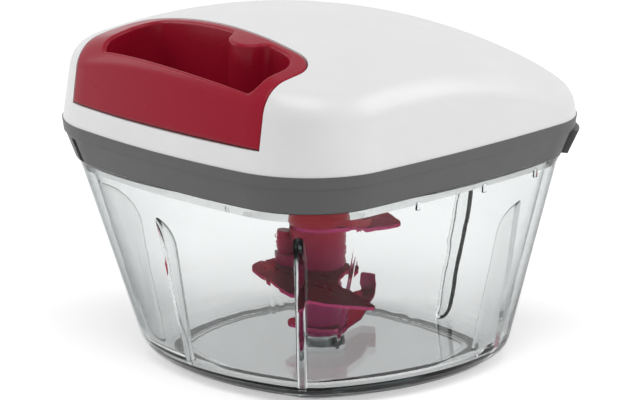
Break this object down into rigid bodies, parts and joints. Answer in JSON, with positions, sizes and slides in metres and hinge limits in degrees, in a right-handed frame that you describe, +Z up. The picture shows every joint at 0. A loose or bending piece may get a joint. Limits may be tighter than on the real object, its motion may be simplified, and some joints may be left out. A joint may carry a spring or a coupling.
{
  "type": "pull string food chopper",
  "caption": "Hand food chopper: a clear bowl under a domed lid with a pull handle whose cord turns a drum and, through it, curved steel blades on an upright stem.",
  "frame": {"origin": "the middle of the underside, on the blades' axis at the table", "axes": "+Z up along the blades' axis, -Y towards the pull handle at the front, +X to the right seen from the front"},
  "size_m": [0.1248, 0.1381, 0.1119],
  "materials": {
    "clear_plastic": "clear and glossy",
    "soft_rubber": "matte",
    "seal_rubber": "soft, matte",
    "polished_steel": "ground",
    "blade_steel": "polished",
    "spring_steel": "blued strip",
    "screw_steel": "zinc plated",
    "grey_plastic": "fine satin",
    "white_plastic": "glossy",
    "red_plastic": "glossy",
    "natural_plastic": "satin",
    "dark_plastic": "satin",
    "brass_fitting": "plain",
    "cord_fibre": "braided"
  },
  "bodies": {
    "bowl_body": {"bowl": "clear_plastic", "foot_ring": "soft_rubber", "bowl_pin": "polished_steel"},
    "lid": {"lid_base": "grey_plastic", "lid_seal": "seal_rubber", "top_cover": "white_plastic", "drum_housing": "dark_plastic", "drum_axle": "polished_steel", "spring_arbor": "natural_plastic", "recoil_spring": "spring_steel", "housing_screws": "screw_steel", "cover_screws": "screw_steel", "cord_eyelet": "brass_fitting", "cord_run": "cord_fibre"},
    "handle": {"pull_handle": "red_plastic", "cord_knot": "cord_fibre"},
    "drum": {"cord_drum": "natural_plastic", "spring_plate": "natural_plastic", "cord_winding": "cord_fibre", "drum_end_knot": "cord_fibre", "drive_coupler": "dark_plastic", "coupler_screw": "screw_steel"},
    "pivot_bush": {"stem_bush": "natural_plastic"},
    "blades": {"blade_stem": "red_plastic", "lower_blade": "blade_steel", "upper_blade": "blade_steel", "bottom_blade": "blade_steel"}
  },
  "joints": [
    {"name": "lid_lift", "type": "slide", "parent": "bowl_body", "child": "lid", "axis": [0, 0, 1], "range_m": [0, 0.15]},
    {"name": "handle_pull", "type": "slide", "parent": "lid", "child": "handle", "axis": [0, -1, 0], "range_m": [0, 0.3], "stiffness_N_per_m": 4, "springref_m": -0.3},
    {"name": "drum_spin", "type": "hinge", "parent": "lid", "child": "drum", "pos_m": [0, 0, 0.08], "axis": [0, 0, 1], "range_deg": [-1190, 1190]},
    {"name": "blade_lift", "type": "slide", "parent": "bowl_body", "child": "pivot_bush", "axis": [0, 0, 1], "range_m": [0, 0.075]},
    {"name": "blade_spin", "type": "hinge", "parent": "pivot_bush", "child": "blades", "pos_m": [0, 0, 0.03], "axis": [0, 0, 1], "range_deg": [-1190, 1190]}
  ],
  "couplings": [
    {"joint": "drum_spin", "follows": "handle_pull", "rad_per_m": -68.966},
    {"joint": "blade_spin", "follows": "handle_pull", "rad_per_m": -68.966},
    {"joint": "blade_lift", "follows": "lid_lift", "ratio": 0.5}
  ]
}
